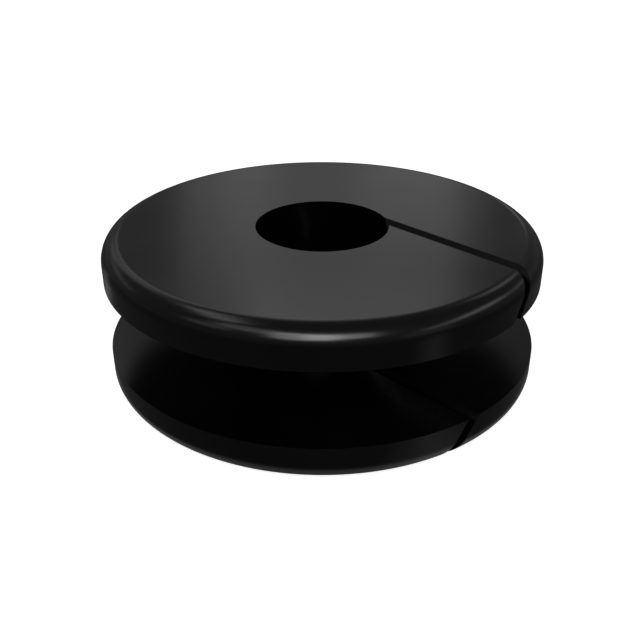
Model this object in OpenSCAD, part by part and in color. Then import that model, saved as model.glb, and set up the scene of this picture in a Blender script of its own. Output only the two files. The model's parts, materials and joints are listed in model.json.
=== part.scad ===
// Split cable grommet: one round rubber moulding with a flange at each end, a groove between the
// flanges for the edge of a panel, and a plain hole along the middle for the cable. One slanted
// slit runs from the hole out through the wall, so that a cable with its plug on can be pressed
// in from the side. The slant keeps the cable from working out again along the panel's edge.
// The grommet stands on its lower flange at z = 0, with its hole along Z.

/* [Flanges] */
// Diameter of the two flanges
flange_d = 46.4; // [42:0.2:60]
// Thickness of each flange
flange_t = 4; // [2.5:0.1:8]
// Radius of the rounded outer edge of each flange
edge_r = 2; // [0.4:0.1:2.3]

/* [Panel groove] */
// Diameter across the bottom of the groove, as the hole in the panel
groove_d = 20.5; // [20:0.5:36]
// Width of the groove, as the thickness of the panel
groove_w = 8; // [4:0.2:16]
// Radius in the two inner corners of the groove
root_r = 0.2; // [0.1:0.1:1.5]

/* [Cable hole] */
// Diameter of the hole along the middle
bore_d = 14.2; // [8:0.1:16]

/* [Slit] */
// Width of the slit, square to its two faces
slit_w = 1.1; // [0.4:0.1:2]
// Distance at each end face from the hole's wall in to the middle of the slit
slit_inset = 1.5; // [1:0.1:3]
// Direction in which the slit opens, in degrees from +X towards +Y
slit_dir = -45; // [-180:5:180]

/* [Hidden] */
$fn = 180;
// How far a cut runs on past the surface that it opens
past = 1;
height = 2 * flange_t + groove_w;
// The slit crosses the axis at mid height, and leans so that it stands off it by this at each end
slit_shift = bore_d / 2 - slit_inset;
slit_lean = atan(slit_shift / (height / 2));
// Height of the slit's slab along its lean, at which its corners clear both end faces
slab_h = (height + slit_w * sin(slit_lean)) / cos(slit_lean) + past;

// Half section of a flange that stands on the X axis, with its outer upper edge rounded
module flange_section() {
    edge_x = flange_d / 2 - edge_r;
    edge_y = flange_t - edge_r;
    square([edge_x, flange_t]);
    square([flange_d / 2, edge_y]);
    translate([edge_x, edge_y]) circle(edge_r);
}

// What a rounded inner corner adds: the part of a square that lies outside a circle
module root_section() {
    difference() {
        square(root_r);
        translate([root_r, 0]) circle(root_r);
    }
}

// Half section from mid height up: half of the neck, its rounded inner corner and a flange
module upper_section() {
    square([groove_d / 2, groove_w / 2]);
    translate([groove_d / 2, groove_w / 2 - root_r]) root_section();
    translate([0, groove_w / 2]) flange_section();
}

// The moulded body before its hole and slit, the same above and below mid height
module body() {
    rotate_extrude()
        for (side = [0, 1])
            mirror([0, side]) upper_section();
}

// The hole for the cable, right through
module cable_hole() {
    cylinder(d = bore_d, h = height + 2 * past, center = true);
}

// The slit: a slab from the axis out past the flanges, leaning about the line along which it opens
module slit() {
    rotate([0, 0, slit_dir])
        rotate([-slit_lean, 0, 0])
            translate([0, -slit_w / 2, -slab_h / 2])
                cube([flange_d / 2 + past, slit_w, slab_h]);
}

module grommet() {
    color([0.09, 0.09, 0.09])
        translate([0, 0, height / 2])
            difference() {
                body();
                cable_hole();
                slit();
            }
}

grommet();
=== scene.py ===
"""Looks of a split rubber cable grommet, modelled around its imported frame.

The grommet is one rubber moulding: two flanges with a panel groove between them, a bore for the
cable, and one slanted slit that opens the bore to the side. Everything is in metres, in the frame
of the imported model: the part stands on z = 0, with its bore along Z.
"""

from __future__ import annotations

import json
import logging
import math
from collections.abc import Callable
from dataclasses import dataclass, field
from enum import Enum
from typing import Any

import bmesh
import bpy
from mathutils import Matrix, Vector

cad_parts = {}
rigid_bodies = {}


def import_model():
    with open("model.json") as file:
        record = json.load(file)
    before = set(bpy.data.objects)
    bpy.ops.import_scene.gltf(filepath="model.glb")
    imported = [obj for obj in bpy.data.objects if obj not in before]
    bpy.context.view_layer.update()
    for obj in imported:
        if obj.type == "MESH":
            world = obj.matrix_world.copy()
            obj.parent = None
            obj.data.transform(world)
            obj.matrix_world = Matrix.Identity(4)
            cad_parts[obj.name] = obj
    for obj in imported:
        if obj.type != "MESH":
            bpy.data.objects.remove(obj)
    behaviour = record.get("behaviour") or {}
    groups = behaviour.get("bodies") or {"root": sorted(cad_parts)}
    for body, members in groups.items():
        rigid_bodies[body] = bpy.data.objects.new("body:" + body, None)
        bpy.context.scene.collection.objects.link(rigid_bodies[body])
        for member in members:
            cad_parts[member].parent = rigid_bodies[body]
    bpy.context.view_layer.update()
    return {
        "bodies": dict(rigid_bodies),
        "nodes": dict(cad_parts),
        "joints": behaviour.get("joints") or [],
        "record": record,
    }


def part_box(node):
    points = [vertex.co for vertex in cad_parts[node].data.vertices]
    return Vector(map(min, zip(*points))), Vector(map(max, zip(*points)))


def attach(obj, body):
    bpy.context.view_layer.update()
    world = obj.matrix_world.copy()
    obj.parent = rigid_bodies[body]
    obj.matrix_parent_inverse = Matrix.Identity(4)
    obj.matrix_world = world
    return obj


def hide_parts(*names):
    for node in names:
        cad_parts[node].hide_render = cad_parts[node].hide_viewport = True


LOG = logging.getLogger("grommet")
MM = 0.001
# How far off a place may be when a selection is made by place, and when points are merged
NEAR = 0.01 * MM
MERGE = 0.001 * MM
# Angle under which two edges count as one straight line, and cosine over which faces are parallel
STRAIGHT = math.radians(1)
PARALLEL = 0.999
# Sockets of the Mix node for colours, which can't be told apart by name
MIX_SHARE = 0
MIX_FIRST = 6
MIX_SECOND = 7
MIX_RESULT = 2
# Middle of the values that a noise gives
NOISE_MIDDLE = 0.5


# Shader expressions


class Wire:
    """An output socket of a shader node that takes part in Python arithmetic."""

    def __init__(self, graph: Graph, socket: bpy.types.NodeSocket) -> None:
        """Wraps a socket.

        Args:
            graph: The graph that the socket belongs to.
            socket: The output socket.
        """
        self.graph = graph
        self.socket = socket

    def __add__(self, other: Value) -> Wire:
        """Sum of two values."""
        return self.graph.math("ADD", self, other)

    __radd__ = __add__

    def __sub__(self, other: Value) -> Wire:
        """Difference of two values."""
        return self.graph.math("SUBTRACT", self, other)

    def __rsub__(self, other: Value) -> Wire:
        """Difference, with the wire on the right of the sign."""
        return self.graph.math("SUBTRACT", other, self)

    def __mul__(self, other: Value) -> Wire:
        """Product of two values."""
        return self.graph.math("MULTIPLY", self, other)

    __rmul__ = __mul__


Value = Wire | float


class Graph:
    """The node tree of a material or of the world, to which nodes are added by expressions."""

    def __init__(self, tree: bpy.types.NodeTree) -> None:
        """Starts from an empty tree.

        Args:
            tree: The tree, whose nodes are all removed.
        """
        self.tree = tree
        tree.nodes.clear()

    def node(
        self,
        kind: str,
        output: str | int = 0,
        settings: dict[str, Any] | None = None,
        inputs: dict[str | int, Any] | None = None,
    ) -> Wire:
        """Adds a node and wires it up.

        Args:
            kind: The node's type name.
            output: The output socket that is wanted, by name or place.
            settings: Properties of the node, which are set before its sockets.
            inputs: Values or wires for its input sockets, by name or place.

        Returns:
            The wanted output.
        """
        made = self.tree.nodes.new(kind)
        for name, value in (settings or {}).items():
            setattr(made, name, value)
        for key, value in (inputs or {}).items():
            if isinstance(value, Wire):
                self.tree.links.new(value.socket, made.inputs[key])
            else:
                made.inputs[key].default_value = value
        return Wire(self, made.outputs[output]) if made.outputs else Wire(self, None)

    def math(self, operation: str, first: Value, second: Value) -> Wire:
        """Adds a Math node for two values."""
        return self.node("ShaderNodeMath", 0, {"operation": operation}, {0: first, 1: second})

    def blend(self, share: Value, first: Any, second: Any) -> Wire:
        """Mixes two colours.

        Args:
            share: The share of the second colour, from 0 to 1.
            first: The colour at share 0.
            second: The colour at share 1.

        Returns:
            The mixed colour.
        """
        inputs = {MIX_SHARE: share, MIX_FIRST: first, MIX_SECOND: second}
        return self.node("ShaderNodeMix", MIX_RESULT, {"data_type": "RGBA"}, inputs)

    def remap(self, value: Wire, low: float, high: float) -> Wire:
        """Stretches a value so that low becomes 0 and high becomes 1, and clamps it there."""
        inputs = {"Value": value, "From Min": low, "From Max": high}
        return self.node("ShaderNodeMapRange", 0, {"clamp": True}, inputs)

    def noise(self, place: Wire, size: float, detail: float) -> Wire:
        """Adds a noise from 0 to 1.

        Args:
            place: The coordinates that it varies over.
            size: The size of its largest spots.
            detail: The number of finer layers in it.

        Returns:
            The noise.
        """
        inputs = {"Vector": place, "Scale": 1 / size, "Detail": detail}
        return self.node("ShaderNodeTexNoise", "Fac", inputs=inputs)

    def bump(self, relief: Wire, height: float) -> Wire:
        """Turns a relief from 0 to 1 into a normal, for a surface that rises by the height."""
        inputs = {"Height": relief, "Strength": 1.0, "Distance": height}
        return self.node("ShaderNodeBump", inputs=inputs)

    def rubber(self, colour: Wire, roughness: Wire, ior: float, normal: Wire) -> None:
        """Ends a material in one layer of rubber.

        Args:
            colour: Its base colour.
            roughness: Its roughness.
            ior: Its index of refraction.
            normal: Its normal.
        """
        inputs = {"Base Color": colour, "Roughness": roughness, "IOR": ior, "Normal": normal}
        surface = self.node("ShaderNodeBsdfPrincipled", inputs=inputs)
        self.node("ShaderNodeOutputMaterial", inputs={"Surface": surface})


def new_material(name: str) -> tuple[bpy.types.Material, Graph]:
    """Makes a material with an empty node tree.

    Args:
        name: The material's name.

    Returns:
        The material and its graph.
    """
    material = bpy.data.materials.new(name)
    material.use_nodes = True
    return material, Graph(material.node_tree)


# Finishes


@dataclass(frozen=True)
class RubberSkin:
    """Black rubber as it comes from a polished mould: satin, with faint clouds and a fine grain."""

    name: str = "moulded_rubber"
    black: tuple[float, float, float, float] = (0.0009, 0.0009, 0.0009, 1)
    bloom: tuple[float, float, float, float] = (0.0017, 0.0017, 0.0018, 1)
    roughness: float = 0.20
    cloud_size: float = 9 * MM
    cloud_detail: float = 3.0
    cloud_low: float = 0.35
    cloud_high: float = 0.65
    cloud_roughness: float = 0.03
    grain_size: float = 0.22 * MM
    grain_detail: float = 2.0
    grain_height: float = 0.0006 * MM
    ior: float = 1.5

    def build(self) -> bpy.types.Material:
        """Builds the material.

        Returns:
            The material, which reads object coordinates.
        """
        material, graph = new_material(self.name)
        place = graph.node("ShaderNodeTexCoord", "Object")
        cloud = graph.noise(place, self.cloud_size, self.cloud_detail)
        cloud = graph.remap(cloud, self.cloud_low, self.cloud_high)
        grain = graph.noise(place, self.grain_size, self.grain_detail)
        colour = graph.blend(cloud, self.black, self.bloom)
        roughness = self.roughness + self.cloud_roughness * (cloud - NOISE_MIDDLE)
        graph.rubber(colour, roughness, self.ior, graph.bump(grain, self.grain_height))
        return material


@dataclass(frozen=True)
class CutRubber:
    """Black rubber where a blade has parted it: sleek and deep, with faint drag lines."""

    name: str = "cut_rubber"
    black: tuple[float, float, float, float] = (0.0006, 0.0006, 0.0006, 1)
    torn: tuple[float, float, float, float] = (0.0012, 0.0012, 0.0012, 1)
    roughness: float = 0.22
    line_roughness: float = 0.06
    line_pitch: float = 0.35 * MM
    line_detail: float = 3.0
    line_height: float = 0.002 * MM
    line_stretch: tuple[float, float, float] = (0.12, 0.12, 1.0)
    ior: float = 1.5

    def build(self) -> bpy.types.Material:
        """Builds the material.

        Returns:
            The material, which reads object coordinates.
        """
        material, graph = new_material(self.name)
        place = graph.node("ShaderNodeTexCoord", "Object")
        stretched = graph.node(
            "ShaderNodeMapping", inputs={"Vector": place, "Scale": self.line_stretch}
        )
        lines = graph.noise(stretched, self.line_pitch, self.line_detail)
        colour = graph.blend(lines, self.black, self.torn)
        roughness = self.roughness + self.line_roughness * (lines - NOISE_MIDDLE)
        graph.rubber(colour, roughness, self.ior, graph.bump(lines, self.line_height))
        return material


# Modelling in edit mode


class Element(Enum):
    """What a selection is made of."""

    VERTS = "VERT"
    EDGES = "EDGE"


class Workpiece:
    """A mesh on the bench, which is shaped in edit mode with its selections made by place."""

    def __init__(self, name: str) -> None:
        """Takes the primitive that was just added, and puts its place into its mesh.

        Args:
            name: The piece's name.
        """
        self.object = bpy.context.object
        self.object.name = name
        self.object.data.name = name
        bpy.ops.object.transform_apply(location=True, rotation=True, scale=True)

    def edit(self) -> None:
        """Opens the mesh in edit mode, with all of it selected."""
        bpy.ops.object.mode_set(mode="EDIT")
        bpy.ops.mesh.select_all(action="SELECT")

    def close(self) -> None:
        """Goes back to object mode."""
        bpy.ops.object.mode_set(mode="OBJECT")

    def select(self, element: Element, wanted: Callable[[Vector], bool]) -> None:
        """Selects what lies at the wanted places, and nothing else.

        Args:
            element: What is selected.
            wanted: Says whether a place is wanted: that of a vertex, or the middle of an edge.

        Raises:
            RuntimeError: If nothing lies there.
        """
        bpy.ops.mesh.select_mode(type=element.value)
        bpy.ops.mesh.select_all(action="DESELECT")
        mesh = bmesh.from_edit_mesh(self.object.data)
        if element is Element.VERTS:
            found = [v for v in mesh.verts if wanted(v.co)]
        else:
            found = [e for e in mesh.edges if wanted((e.verts[0].co + e.verts[1].co) / 2)]
        if not found:
            raise RuntimeError(f"nothing to select on {self.object.name}")
        for item in found:
            item.select_set(True)
        mesh.select_flush_mode()
        bmesh.update_edit_mesh(self.object.data)

    def apply(self, kind: str, settings: dict[str, Any]) -> None:
        """Adds a modifier and applies it.

        Args:
            kind: The modifier's type.
            settings: Its properties.
        """
        modifier = self.object.modifiers.new(kind.title(), kind)
        for name, value in settings.items():
            setattr(modifier, name, value)
        bpy.ops.object.modifier_apply(modifier=modifier.name)


def clear_selection() -> None:
    """Deselects everything, so that the next operator works on the new piece alone."""
    bpy.ops.object.select_all(action="DESELECT")


# The grommet


@dataclass
class Grommet:
    """The rubber moulding, with its sizes in metres."""

    flange_radius: float
    height: float
    bore_radius: float
    flange_thickness: float = 4 * MM
    edge_radius: float = 2 * MM
    groove_radius: float = 10.25 * MM
    root_radius: float = 0.2 * MM
    slit_width: float = 1.1 * MM
    slit_inset: float = 1.5 * MM
    slit_heading: float = math.radians(-45)
    turn_steps: int = 400
    edge_steps: int = 20
    root_steps: int = 4
    smooth_angle: float = math.radians(32)
    face_weight: int = 50
    skin: RubberSkin = field(default_factory=RubberSkin)
    cut: CutRubber = field(default_factory=CutRubber)

    @classmethod
    def from_frame(cls, frame: dict[str, Any]) -> Grommet:
        """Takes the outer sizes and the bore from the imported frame.


        Returns:
            The grommet, not modelled yet.
        """
        _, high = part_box("grommet")
        bore = next(m for m in frame["record"]["mounts"] if m["name"] == "cable_bore")
        return cls(high.x, high.z, bore["dims"]["r_mm"] * MM)

    @property
    def slit_lean(self) -> float:
        """Angle by which the slit leans from the bore's axis."""
        shift = self.bore_radius - self.slit_inset
        return math.atan(shift / (self.height / 2))

    def section(self) -> Workpiece:
        """Draws the half section as one face that stands on the X axis, from the bore outwards.

        Returns:
            The section, with its outer and inner corners rounded.
        """
        clear_selection()
        wall = self.groove_radius - self.bore_radius
        bpy.ops.mesh.primitive_plane_add(
            size=1,
            location=(self.bore_radius + wall / 2, 0, self.height / 2),
            rotation=(math.pi / 2, 0, 0),
        )
        bpy.context.object.scale = (wall, self.height, 1)
        piece = Workpiece("moulded_grommet")
        lower_lip = self.flange_thickness
        upper_lip = self.height - self.flange_thickness
        piece.edit()
        for level in (lower_lip, upper_lip):
            bpy.ops.mesh.select_all(action="SELECT")
            bpy.ops.mesh.bisect(plane_co=(0, 0, level), plane_no=(0, 0, 1), threshold=MERGE)
        piece.select(
            Element.EDGES,
            lambda p: p.x > self.groove_radius - NEAR and not lower_lip < p.z < upper_lip,
        )
        bpy.ops.mesh.extrude_region_move(
            TRANSFORM_OT_translate={"value": (self.flange_radius - self.groove_radius, 0, 0)}
        )
        bpy.ops.mesh.select_all(action="SELECT")
        bpy.ops.mesh.dissolve_limited(angle_limit=STRAIGHT)
        self.round_corners(piece, self.on_rim, self.edge_radius, self.edge_steps)
        self.round_corners(piece, self.on_neck, self.root_radius, self.root_steps)
        piece.close()
        return piece

    def on_rim(self, place: Vector) -> bool:
        """Says whether a place is on the outer edge of one of the two end faces."""
        off_middle = abs(place.z - self.height / 2)
        return place.x > self.flange_radius - NEAR and off_middle > self.height / 2 - NEAR

    def on_neck(self, place: Vector) -> bool:
        """Says whether a place is on the bottom of the groove."""
        return abs(place.x - self.groove_radius) < NEAR

    def round_corners(
        self, piece: Workpiece, wanted: Callable[[Vector], bool], radius: float, steps: int
    ) -> None:
        """Rounds corners of the section.

        Args:
            piece: The section, in edit mode.
            wanted: Says which corners are rounded.
            radius: Their radius.
            steps: The number of straight steps in each round.
        """
        piece.select(Element.VERTS, wanted)
        bpy.ops.mesh.bevel(
            offset=radius, offset_type="OFFSET", segments=steps, profile=0.5, affect="VERTICES"
        )

    def turn(self, piece: Workpiece) -> None:
        """Spins the section's outline once round the bore's axis.

        Args:
            piece: The section, which becomes the closed body of the moulding.
        """
        piece.edit()
        bpy.ops.mesh.delete(type="ONLY_FACE")
        bpy.ops.mesh.select_mode(type="VERT")
        bpy.ops.mesh.select_all(action="SELECT")
        bpy.ops.mesh.spin(
            steps=self.turn_steps,
            angle=2 * math.pi,
            center=(0, 0, 0),
            axis=(0, 0, 1),
            use_auto_merge=True,
        )
        bpy.ops.mesh.select_all(action="SELECT")
        bpy.ops.mesh.remove_doubles(threshold=MERGE)
        bpy.ops.mesh.normals_make_consistent(inside=False)
        piece.close()

    def slit_blade(self) -> Workpiece:
        """Makes the slab that the slit takes away, from the bore's axis out past the flanges.

        Returns:
            The slab, which leans about the line along which the slit opens.
        """
        clear_selection()
        past = 1 * MM
        reach = self.flange_radius + past
        bpy.ops.mesh.primitive_cube_add(
            size=1,
            location=(
                reach / 2 * math.cos(self.slit_heading),
                reach / 2 * math.sin(self.slit_heading),
                self.height / 2,
            ),
            rotation=(-self.slit_lean, 0, self.slit_heading),
        )
        rise = self.height / math.cos(self.slit_lean) + 2 * past
        bpy.context.object.scale = (reach, self.slit_width, rise)
        return Workpiece("slit_blade")

    def split(self, piece: Workpiece) -> None:
        """Cuts the slit.

        Args:
            piece: The closed body.
        """
        blade = self.slit_blade()
        clear_selection()
        piece.object.select_set(True)
        bpy.context.view_layer.objects.active = piece.object
        piece.apply(
            "BOOLEAN", {"operation": "DIFFERENCE", "solver": "EXACT", "object": blade.object}
        )
        bpy.data.objects.remove(blade.object)

    def dress(self, piece: Workpiece) -> None:
        """Gives the skin and the cut faces their finishes, and smooths the rounds.

        Args:
            piece: The split body.
        """
        mesh = piece.object.data
        mesh.materials.clear()
        mesh.materials.append(self.skin.build())
        mesh.materials.append(self.cut.build())
        across = self.slit_normal()
        middle = Vector((0, 0, self.height / 2))
        for face in mesh.polygons:
            faces_slit = abs(face.normal.dot(across)) > PARALLEL
            offset = abs((face.center - middle).dot(across))
            in_slit = faces_slit and abs(offset - self.slit_width / 2) < NEAR
            face.material_index = 1 if in_slit else 0
        bpy.ops.object.shade_smooth_by_angle(angle=self.smooth_angle)
        piece.apply("WEIGHTED_NORMAL", {"keep_sharp": True, "weight": self.face_weight})

    def slit_normal(self) -> Vector:
        """Direction square to the faces of the slit."""
        flat = Vector((-math.sin(self.slit_heading), math.cos(self.slit_heading), 0))
        return flat * math.cos(self.slit_lean) - Vector((0, 0, 1)) * math.sin(self.slit_lean)

    def build(self) -> None:
        """Models the grommet and sets it in the frame."""
        piece = self.section()
        self.turn(piece)
        self.split(piece)
        self.dress(piece)
        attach(piece.object, "root")
        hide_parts("grommet")
        LOG.info("%s: %d faces", piece.object.name, len(piece.object.data.polygons))


# The studio


@dataclass(frozen=True)
class Viewpoint:
    """The camera, which looks along +Y and down onto the grommet."""

    lens: float = 46.97
    sensor: float = 36.0
    distance: float = 94.42 * MM
    pitch: float = math.radians(28.475)
    aim_x: float = -0.223 * MM
    aim_z: float = 4.456 * MM
    nearest: float = 1 * MM
    farthest: float = 20.0

    def build(self) -> None:
        """Makes the camera and hands it to the scene."""
        data = bpy.data.cameras.new("camera")
        data.lens = self.lens
        data.sensor_width = self.sensor
        data.clip_start = self.nearest
        data.clip_end = self.farthest
        camera = bpy.data.objects.new("camera", data)
        camera.location = (
            self.aim_x,
            -self.distance * math.cos(self.pitch),
            self.aim_z + self.distance * math.sin(self.pitch),
        )
        camera.rotation_euler = (math.pi / 2 - self.pitch, 0, 0)
        bpy.context.scene.collection.objects.link(camera)
        bpy.context.scene.camera = camera


@dataclass(frozen=True)
class Softbox:
    """A rectangular lamp that faces the grommet, given by what it fills of the grommet's sky.

    Bearing and rise are those of its middle, and across and tall the angles that it fills, all in
    degrees. A bearing of 0 is behind the grommet and 90 on its right. Brightness is that of the
    lamp's face, where a white paper in the same light would show at 1.
    """

    name: str
    bearing: float
    rise: float
    across: float
    tall: float
    brightness: float
    distance: float = 0.6

    def build(self, target: Vector) -> None:
        """Makes the lamp, which the camera doesn't see.

        Args:
            target: The point that the lamp faces.
        """
        bearing = math.radians(self.bearing)
        rise = math.radians(self.rise)
        away = Vector(
            (
                math.sin(bearing) * math.cos(rise),
                math.cos(bearing) * math.cos(rise),
                math.sin(rise),
            )
        )
        data = bpy.data.lights.new(self.name, "AREA")
        data.shape = "RECTANGLE"
        data.size = 2 * self.distance * math.tan(math.radians(self.across / 2))
        data.size_y = 2 * self.distance * math.tan(math.radians(self.tall / 2))
        data.energy = math.pi * data.size * data.size_y * self.brightness
        lamp = bpy.data.objects.new(self.name, data)
        lamp.location = target + away * self.distance
        lamp.rotation_euler = (-away).to_track_quat("-Z", "Y").to_euler()
        lamp.visible_camera = False
        bpy.context.scene.collection.objects.link(lamp)


@dataclass
class Studio:
    """A pale sweep of floor, a pale surround and the softboxes.

    The fields that start with shown are for the camera, and those that start with mirrored for
    what the rubber's gloss shows. To the camera the floor is painted and glows, by more from
    near_floor to far_floor. In the gloss it has a dim even glow, a brighter ring round the
    grommet's foot and a streak, which is a straight band beside the middle. The ring and the
    streak are painted reflections: glow that only the rubber's gloss sees. Nothing glows under the
    grommet, which is painted shade: the glow fades in just short of that shade's radius.
    """

    target: Vector
    floor_size: float = 4.0
    shown_floor: float = 0.8
    shown_paint: float = 0.8
    near_floor: float = 60 * MM
    far_floor: float = 400 * MM
    mirrored_floor: float = 0.056
    # Painted reflection: glow of the ring round the grommet's foot, seen only in the gloss
    mirrored_painted_ring: float = 0.34
    foot_radius: float = 23 * MM
    foot_fade: float = 1.5 * MM
    # Painted shade: the gloss glow is dark under the grommet out to this radius
    painted_shade_radius: float = 23.6 * MM
    # Painted reflection: glow of the streak beside the middle, seen only in the gloss
    painted_streak_glow: float = 0.15
    streak_bearing: float = math.radians(125)
    streak_offset: float = -10.8 * MM
    streak_core: float = 0.5 * MM
    streak_edge: float = 6 * MM
    ambient: float = 0.11
    boxes: tuple[Softbox, ...] = (
        Softbox("front_left", 166, 41, 20, 18, 2.90),
        Softbox("front_mid", 180, 41, 14, 24, 3.98),
        Softbox("front_right", 194, 43, 20, 24, 2.75),
        Softbox("front_low", 188, 29, 24, 8, 1.92),
        Softbox("front_top", 180, 55, 36, 8, 1.06),
        Softbox("sweep", 0, 33, 22, 34, 0.27),
        Softbox("sweep_left", 354, 24, 4, 28, 0.12),
        Softbox("sweep_right", 8.6, 18, 10, 12, 0.14),
        Softbox("sweep_top", 3, 33, 16, 8, 0.53),
        Softbox("back_left", 343, 38, 10, 8, 0.60),
        Softbox("back_left_wide", 333, 35, 14, 14, 0.19),
        Softbox("back_left_slot", 337, 27, 6, 16, 0.28),
        Softbox("back_side", 14, 38, 5, 8, 0.18),
        Softbox("back_right_low", 20, 13, 5, 8, 0.20),
        Softbox("back_right_slot", 19, 17, 4, 5, 0.45),
        Softbox("right_spot", 36, 38, 10, 12, 0.65),
        Softbox("right_far", 65, 20, 15, 8, 0.33),
        Softbox("right_strip", 102, 28, 50, 8, 0.87),
        Softbox("right_core", 95, 31, 24, 8, 0.62),
        Softbox("right_side_low", 130, 14, 24, 16, 0.16),
        Softbox("near_left", 227, 48, 24, 10, 0.95),
        Softbox("near_left_low", 240, 33, 20, 12, 0.47),
        Softbox("near_left_top", 222, 58, 30, 8, 0.71),
        Softbox("left_spot", 280, 66, 16, 9, 0.57),
        Softbox("left_mid", 290, 62, 24, 12, 0.82),
        Softbox("left_back_high", 317, 57, 16, 9, 0.83),
        Softbox("left_post", 325, 30, 12, 28, 0.23),
        Softbox("left_low", 303, 20, 26, 8, 0.22),
    )

    def floor(self) -> None:
        """Lays the floor: white to the eye, with the grommet's shadow; dim in its gloss, with
        painted reflections and painted shade.
        """
        clear_selection()
        bpy.ops.mesh.primitive_plane_add(size=self.floor_size, location=(0, 0, 0))
        floor = bpy.context.object
        floor.name = "floor"
        material, graph = new_material("floor_paint")
        path = "ShaderNodeLightPath"
        seen = graph.node(path, "Is Camera Ray")
        mirrored = graph.node(path, "Is Glossy Ray") + graph.node(path, "Is Transmission Ray")
        place = graph.node("ShaderNodeTexCoord", "Object")
        away = graph.node("ShaderNodeVectorMath", "Value", {"operation": "LENGTH"}, {0: place})
        # Painted reflection: a glowing ring round the grommet's foot, for the gloss alone
        foot = 1 - graph.remap(away, self.foot_radius, self.foot_radius + self.foot_fade)
        # Painted shade: no glow under the grommet, fading in just short of the shade's radius
        beyond_painted_shade = graph.remap(away, self.painted_shade_radius - self.foot_fade, self.painted_shade_radius)
        painted_ring_glow = foot * (self.mirrored_painted_ring - self.mirrored_floor) + self.mirrored_floor
        # Painted reflection: a glowing straight streak beside the middle, for the gloss alone
        across = (-math.cos(self.streak_bearing), math.sin(self.streak_bearing), 0)
        aside = graph.node(
            "ShaderNodeVectorMath", "Value", {"operation": "DOT_PRODUCT"}, {0: place, 1: across}
        )
        aside = graph.math("ABSOLUTE", aside - self.streak_offset, 0.0)
        streak = 1 - graph.remap(aside, self.streak_core, self.streak_edge)
        # What the gloss sees: the dim even glow, the painted reflections and the painted shade
        # under the grommet
        painted_gloss_light = beyond_painted_shade * (painted_ring_glow + streak * self.painted_streak_glow)
        far = graph.remap(away, self.near_floor, self.far_floor)
        shown = far * (1 - self.shown_floor) + self.shown_floor
        glow = seen * shown + mirrored * painted_gloss_light
        paint = graph.node(
            "ShaderNodeBsdfDiffuse",
            inputs={"Color": (self.shown_paint, self.shown_paint, self.shown_paint, 1)},
        )
        light = graph.node("ShaderNodeEmission", inputs={"Strength": glow})
        lit_paint = graph.node("ShaderNodeAddShader", inputs={0: paint, 1: light})
        surface = graph.node("ShaderNodeMixShader", inputs={0: mirrored, 1: lit_paint, 2: light})
        graph.node("ShaderNodeOutputMaterial", inputs={"Surface": surface})
        floor.data.materials.append(material)

    def surround(self) -> None:
        """Fills the world: white to the eye, and a dim even light for everything else."""
        world = bpy.data.worlds.new("surround")
        bpy.context.scene.world = world
        world.use_nodes = True
        graph = Graph(world.node_tree)
        seen = graph.node("ShaderNodeLightPath", "Is Camera Ray")
        strength = seen * (1 - self.ambient) + self.ambient
        back = graph.node(
            "ShaderNodeBackground", inputs={"Color": (1, 1, 1, 1), "Strength": strength}
        )
        graph.node("ShaderNodeOutputWorld", inputs={"Surface": back})

    def build(self) -> None:
        """Builds the floor, the surround and every softbox."""
        self.floor()
        self.surround()
        for box in self.boxes:
            box.build(self.target)
        LOG.info("studio: %d softboxes", len(self.boxes))


def main() -> None:
    """Loads the frame, models the grommet and sets up the studio."""
    logging.basicConfig(level=logging.INFO, format="%(name)s %(message)s")
    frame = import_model()
    scene = bpy.context.scene
    scene.view_settings.view_transform = "Standard"
    grommet = Grommet.from_frame(frame)
    grommet.build()
    Viewpoint().build()
    Studio(Vector((0, 0, grommet.height / 2))).build()


if __name__ == "__main__":
    main()
